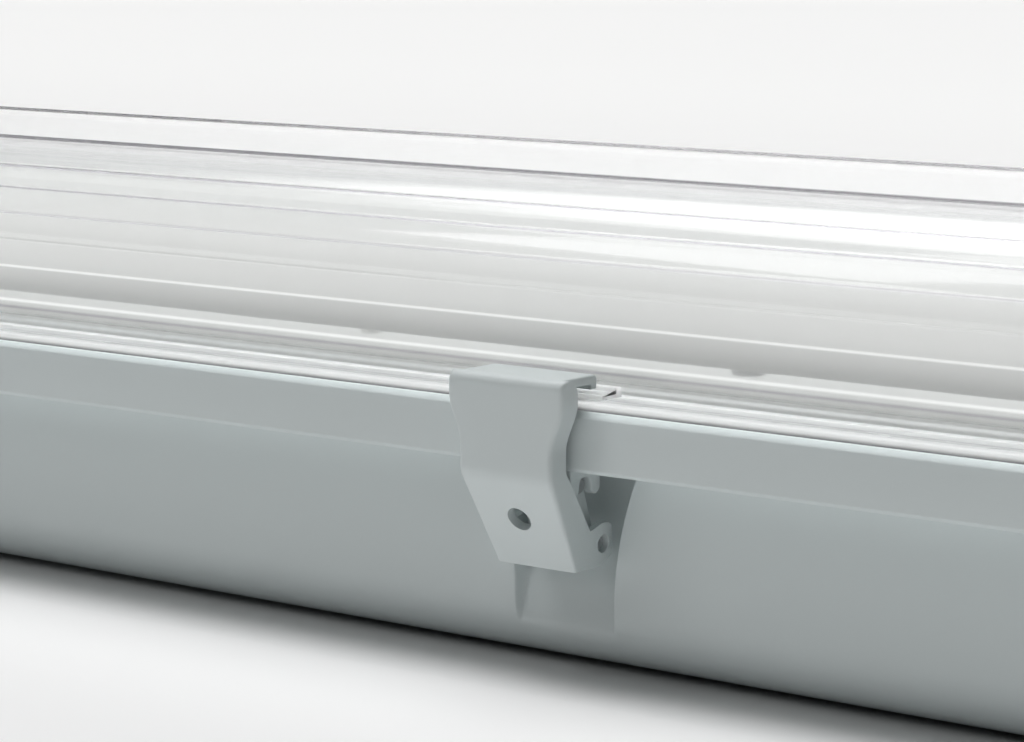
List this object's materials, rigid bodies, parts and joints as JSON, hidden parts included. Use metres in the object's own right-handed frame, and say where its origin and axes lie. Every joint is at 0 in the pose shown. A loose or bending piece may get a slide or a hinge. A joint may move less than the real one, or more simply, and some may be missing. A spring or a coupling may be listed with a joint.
{
  "type": "vapor tight light fixture",
  "caption": "Long sealed luminaire: grey tub with a flat back, clear ribbed lens on a gasket, toggle latches along both sides, two tubular lamps on a white tray and a cable gland.",
  "frame": {"origin": "middle of the flat back, which lies on z = 0", "axes": "+X along the fixture towards the cable gland, +Z out of the back towards the lens, front latches at -Y"},
  "size_m": [0.6696, 0.1374, 0.0951],
  "materials": {
    "grey_plastic": "moulded, satin, fine grain",
    "clear_lens": "clear moulded plastic with lengthwise ribs, glossy",
    "foam_gasket": "foamed in place, matt skin",
    "white_sheet": "white enamelled sheet steel",
    "white_plastic": "moulded white plastic",
    "frosted_tube": "frosted lamp tube",
    "lamp_board": "white solder mask board",
    "bright_steel": "zinc plated",
    "black_rubber": "moulded rubber"
  },
  "bodies": {
    "root": {"blanking_plug": "grey_plastic", "driver": "white_plastic", "driver_screw_1": "bright_steel", "driver_screw_2": "bright_steel", "gasket": "foam_gasket", "gear_tray": "white_sheet", "gland_body": "grey_plastic", "gland_lock_nut": "grey_plastic", "gland_nut": "grey_plastic", "gland_seal": "black_rubber", "housing": "grey_plastic", "lamp_holder_front_left": "white_plastic", "lamp_holder_front_right": "white_plastic", "lamp_holder_rear_left": "white_plastic", "lamp_holder_rear_right": "white_plastic", "lens": "clear_lens", "terminal_block": "white_plastic", "tray_screw_1": "bright_steel", "tray_screw_2": "bright_steel", "tray_screw_3": "bright_steel", "tray_screw_4": "bright_steel", "upper_pin_front_left": "bright_steel", "upper_pin_front_middle": "bright_steel", "upper_pin_front_right": "bright_steel", "upper_pin_rear_left": "bright_steel", "upper_pin_rear_middle": "bright_steel", "upper_pin_rear_right": "bright_steel"},
    "lamp_front": {"tube_front": "frosted_tube", "led_board_front": "lamp_board", "lamp_cap_front_left": "white_plastic", "lamp_cap_front_right": "white_plastic", "rotor_front_left": "white_plastic", "rotor_front_right": "white_plastic"},
    "lamp_rear": {"tube_rear": "frosted_tube", "led_board_rear": "lamp_board", "lamp_cap_rear_left": "white_plastic", "lamp_cap_rear_right": "white_plastic", "rotor_rear_left": "white_plastic", "rotor_rear_right": "white_plastic"},
    "latch_link_front_left": {"link_front_left": "grey_plastic"},
    "latch_lever_front_left": {"lever_front_left": "grey_plastic", "lower_pin_front_left": "bright_steel"},
    "latch_link_front_middle": {"link_front_middle": "grey_plastic"},
    "latch_lever_front_middle": {"lever_front_middle": "grey_plastic", "lower_pin_front_middle": "bright_steel"},
    "latch_link_front_right": {"link_front_right": "grey_plastic"},
    "latch_lever_front_right": {"lever_front_right": "grey_plastic", "lower_pin_front_right": "bright_steel"},
    "latch_link_rear_left": {"link_rear_left": "grey_plastic"},
    "latch_lever_rear_left": {"lever_rear_left": "grey_plastic", "lower_pin_rear_left": "bright_steel"},
    "latch_link_rear_middle": {"link_rear_middle": "grey_plastic"},
    "latch_lever_rear_middle": {"lever_rear_middle": "grey_plastic", "lower_pin_rear_middle": "bright_steel"},
    "latch_link_rear_right": {"link_rear_right": "grey_plastic"},
    "latch_lever_rear_right": {"lever_rear_right": "grey_plastic", "lower_pin_rear_right": "bright_steel"}
  },
  "joints": [
    {"name": "lamp_front_turn", "type": "hinge", "parent": "root", "child": "lamp_front", "pos_m": [0, -0.028, 0.071], "axis": [1, 0, 0], "range_deg": [0, 90]},
    {"name": "lamp_rear_turn", "type": "hinge", "parent": "root", "child": "lamp_rear", "pos_m": [0, 0.028, 0.071], "axis": [1, 0, 0], "range_deg": [0, 90]},
    {"name": "latch_front_left_swing", "type": "hinge", "parent": "root", "child": "latch_link_front_left", "pos_m": [-0.22, -0.0542, 0.0374], "axis": [-1, 0, 0], "range_deg": [0, 85]},
    {"name": "latch_front_left_lift", "type": "hinge", "parent": "latch_link_front_left", "child": "latch_lever_front_left", "pos_m": [-0.22, -0.0505, 0.0261], "axis": [-1, 0, 0], "range_deg": [-61.5, 0]},
    {"name": "latch_front_middle_swing", "type": "hinge", "parent": "root", "child": "latch_link_front_middle", "pos_m": [0, -0.0542, 0.0374], "axis": [-1, 0, 0], "range_deg": [0, 85]},
    {"name": "latch_front_middle_lift", "type": "hinge", "parent": "latch_link_front_middle", "child": "latch_lever_front_middle", "pos_m": [0, -0.0505, 0.0261], "axis": [-1, 0, 0], "range_deg": [-61.5, 0]},
    {"name": "latch_front_right_swing", "type": "hinge", "parent": "root", "child": "latch_link_front_right", "pos_m": [0.22, -0.0542, 0.0374], "axis": [-1, 0, 0], "range_deg": [0, 85]},
    {"name": "latch_front_right_lift", "type": "hinge", "parent": "latch_link_front_right", "child": "latch_lever_front_right", "pos_m": [0.22, -0.0505, 0.0261], "axis": [-1, 0, 0], "range_deg": [-61.5, 0]},
    {"name": "latch_rear_left_swing", "type": "hinge", "parent": "root", "child": "latch_link_rear_left", "pos_m": [-0.22, 0.0542, 0.0374], "axis": [1, 0, 0], "range_deg": [0, 85]},
    {"name": "latch_rear_left_lift", "type": "hinge", "parent": "latch_link_rear_left", "child": "latch_lever_rear_left", "pos_m": [-0.22, 0.0505, 0.0261], "axis": [1, 0, 0], "range_deg": [-61.5, 0]},
    {"name": "latch_rear_middle_swing", "type": "hinge", "parent": "root", "child": "latch_link_rear_middle", "pos_m": [0, 0.0542, 0.0374], "axis": [1, 0, 0], "range_deg": [0, 85]},
    {"name": "latch_rear_middle_lift", "type": "hinge", "parent": "latch_link_rear_middle", "child": "latch_lever_rear_middle", "pos_m": [0, 0.0505, 0.0261], "axis": [1, 0, 0], "range_deg": [-61.5, 0]},
    {"name": "latch_rear_right_swing", "type": "hinge", "parent": "root", "child": "latch_link_rear_right", "pos_m": [0.22, 0.0542, 0.0374], "axis": [1, 0, 0], "range_deg": [0, 85]},
    {"name": "latch_rear_right_lift", "type": "hinge", "parent": "latch_link_rear_right", "child": "latch_lever_rear_right", "pos_m": [0.22, 0.0505, 0.0261], "axis": [1, 0, 0], "range_deg": [-61.5, 0]}
  ],
  "couplings": [
    {"joint": "latch_front_left_lift", "follows": "latch_front_left_swing", "ratio": -0.72},
    {"joint": "latch_front_middle_lift", "follows": "latch_front_middle_swing", "ratio": -0.72},
    {"joint": "latch_front_right_lift", "follows": "latch_front_right_swing", "ratio": -0.72},
    {"joint": "latch_rear_left_lift", "follows": "latch_rear_left_swing", "ratio": -0.72},
    {"joint": "latch_rear_middle_lift", "follows": "latch_rear_middle_swing", "ratio": -0.72},
    {"joint": "latch_rear_right_lift", "follows": "latch_rear_right_swing", "ratio": -0.72}
  ]
}
